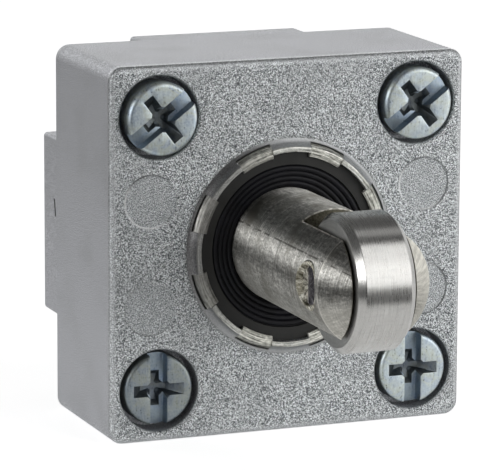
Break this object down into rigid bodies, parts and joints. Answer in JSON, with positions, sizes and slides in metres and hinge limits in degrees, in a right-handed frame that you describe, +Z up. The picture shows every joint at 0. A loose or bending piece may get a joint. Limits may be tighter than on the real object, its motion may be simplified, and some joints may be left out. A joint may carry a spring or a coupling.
{
  "type": "limit switch head",
  "caption": "Square cast limit switch head with a sprung plunger that carries a steel roller, held by corner screws.",
  "frame": {"origin": "on the plunger's axis, in the rear plane of the plus-shaped plinth, where the head meets a switch body", "axes": "+Y out of the rear, towards the switch body, so the roller points along -Y; +Z up as the head stands on its lower side; +X along the roller's axle"},
  "size_m": [0.04, 0.0527, 0.04],
  "materials": {
    "cast_zinc": "die-cast zinc with a fine sparkling metallic lacquer",
    "plated_steel": "bright zinc plate with a bluish cast",
    "turned_steel": "fine turned and brushed steel",
    "polished_steel": "ground steel with fine turning lines",
    "spring_steel": "drawn spring wire",
    "phosphated_steel": "dark phosphated steel",
    "bronze": "sintered bronze",
    "black_polymer": "moulded black polymer",
    "black_rubber": "smooth moulded nitrile rubber"
  },
  "bodies": {
    "head": {"head_housing": "cast_zinc", "fixing_screws": "plated_steel", "screw_retaining_rings": "black_polymer", "seal_retaining_ring": "black_polymer", "wiper_seal": "black_rubber", "guide_bush": "bronze", "bush_o_ring": "black_rubber", "return_spring": "spring_steel", "rear_guide_plate": "turned_steel", "rear_circlip": "phosphated_steel", "body_gasket": "black_rubber"},
    "plunger": {"plunger": "turned_steel", "roller_axle": "turned_steel", "buffer_washer": "black_rubber", "guide_washer": "phosphated_steel", "plunger_circlip": "phosphated_steel", "rod_retainer": "turned_steel", "overtravel_spring": "spring_steel"},
    "roller": {"roller": "polished_steel"},
    "push_rod": {"push_rod": "turned_steel"}
  },
  "joints": [
    {"name": "plunger_slide", "type": "slide", "parent": "head", "child": "plunger", "axis": [0, 1, 0], "range_m": [0, 0.006], "stiffness_N_per_m": 1500, "springref_m": -0.006, "deforming": ["return_spring"]},
    {"name": "roller_spin", "type": "hinge", "parent": "plunger", "child": "roller", "pos_m": [0, -0.0418, 0], "axis": [1, 0, 0], "continuous": true},
    {"name": "push_rod_slide", "type": "slide", "parent": "plunger", "child": "push_rod", "axis": [0, -1, 0], "range_m": [0, 0.002], "stiffness_N_per_m": 2000, "springref_m": -0.002, "deforming": ["overtravel_spring"]}
  ]
}
